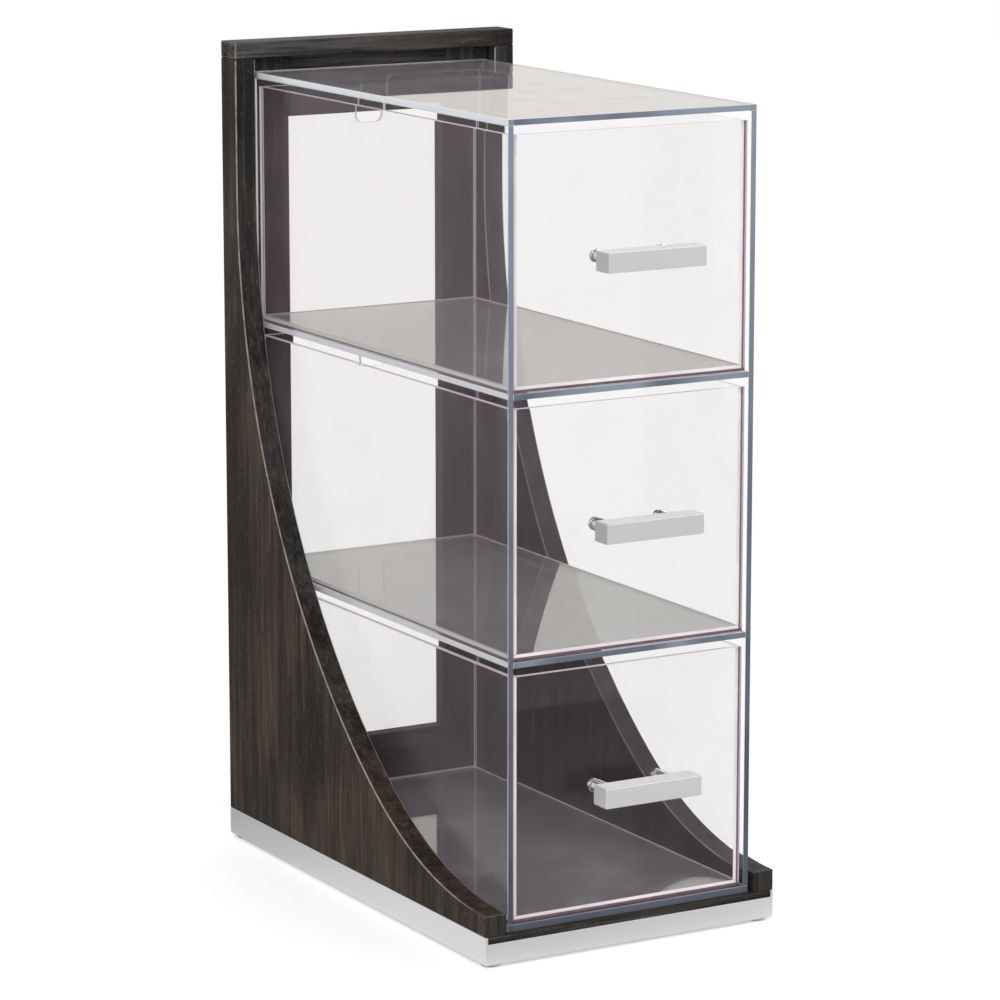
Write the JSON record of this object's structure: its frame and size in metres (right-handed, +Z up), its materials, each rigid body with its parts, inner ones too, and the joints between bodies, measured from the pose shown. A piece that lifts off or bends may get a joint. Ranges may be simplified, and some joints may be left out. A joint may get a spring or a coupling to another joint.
{
  "type": "countertop bread display bin",
  "caption": "Countertop bread display bin: a dark wooden frame with swept sides on a metal tray holds a clear tiered case with clear pull-out drawers and bar handles.",
  "frame": {"origin": "on the counter, at the centre of the footprint of the whole bin with its handles", "axes": "+X to the right seen from the front, -Y towards the front with the handles, +Z up"},
  "size_m": [0.183, 0.3264, 0.471],
  "materials": {
    "dark_stained_wood": "open-grain wood stained brown-black, satin, with pale worn arrises",
    "clear_acrylic": "clear polished sheet with blue-grey edges",
    "drawer_acrylic": "clear polished sheet with blue-grey edges",
    "satin_metal_tray": "satin, fine brushed",
    "satin_metal_handle": "satin",
    "screw_steel": "bright",
    "clear_bumper": "translucent soft plastic"
  },
  "bodies": {
    "frame": {"tray": "satin_metal_tray", "deck": "dark_stained_wood", "foot_front_left": "clear_bumper", "foot_front_right": "clear_bumper", "foot_back_left": "clear_bumper", "foot_back_right": "clear_bumper", "side_panel_left": "dark_stained_wood", "side_panel_right": "dark_stained_wood", "back_stile_left": "dark_stained_wood", "back_stile_right": "dark_stained_wood", "back_rail_lower": "dark_stained_wood", "back_rail_upper": "dark_stained_wood", "top_cap": "dark_stained_wood", "case_floor": "clear_acrylic", "case_top": "clear_acrylic", "case_back": "clear_acrylic", "case_side_left": "clear_acrylic", "case_side_right": "clear_acrylic", "case_shelf_middle": "clear_acrylic", "case_shelf_upper": "clear_acrylic"},
    "lower_drawer": {"drawer_lower_front": "drawer_acrylic", "drawer_lower_back": "drawer_acrylic", "drawer_lower_floor": "drawer_acrylic", "drawer_lower_side_left": "drawer_acrylic", "drawer_lower_side_right": "drawer_acrylic", "drawer_lower_handle": "satin_metal_handle", "drawer_lower_spacer_left": "satin_metal_handle", "drawer_lower_spacer_right": "satin_metal_handle", "drawer_lower_screw_left": "screw_steel", "drawer_lower_screw_right": "screw_steel"},
    "middle_drawer": {"drawer_middle_front": "drawer_acrylic", "drawer_middle_back": "drawer_acrylic", "drawer_middle_floor": "drawer_acrylic", "drawer_middle_side_left": "drawer_acrylic", "drawer_middle_side_right": "drawer_acrylic", "drawer_middle_handle": "satin_metal_handle", "drawer_middle_spacer_left": "satin_metal_handle", "drawer_middle_spacer_right": "satin_metal_handle", "drawer_middle_screw_left": "screw_steel", "drawer_middle_screw_right": "screw_steel"},
    "upper_drawer": {"drawer_upper_front": "drawer_acrylic", "drawer_upper_back": "drawer_acrylic", "drawer_upper_floor": "drawer_acrylic", "drawer_upper_side_left": "drawer_acrylic", "drawer_upper_side_right": "drawer_acrylic", "drawer_upper_handle": "satin_metal_handle", "drawer_upper_spacer_left": "satin_metal_handle", "drawer_upper_spacer_right": "satin_metal_handle", "drawer_upper_screw_left": "screw_steel", "drawer_upper_screw_right": "screw_steel"}
  },
  "joints": [
    {"name": "lower_drawer_slide", "type": "slide", "parent": "frame", "child": "lower_drawer", "axis": [0, -1, 0], "range_m": [0, 0.25]},
    {"name": "middle_drawer_slide", "type": "slide", "parent": "frame", "child": "middle_drawer", "axis": [0, -1, 0], "range_m": [0, 0.25]},
    {"name": "upper_drawer_slide", "type": "slide", "parent": "frame", "child": "upper_drawer", "axis": [0, -1, 0], "range_m": [0, 0.25]}
  ]
}
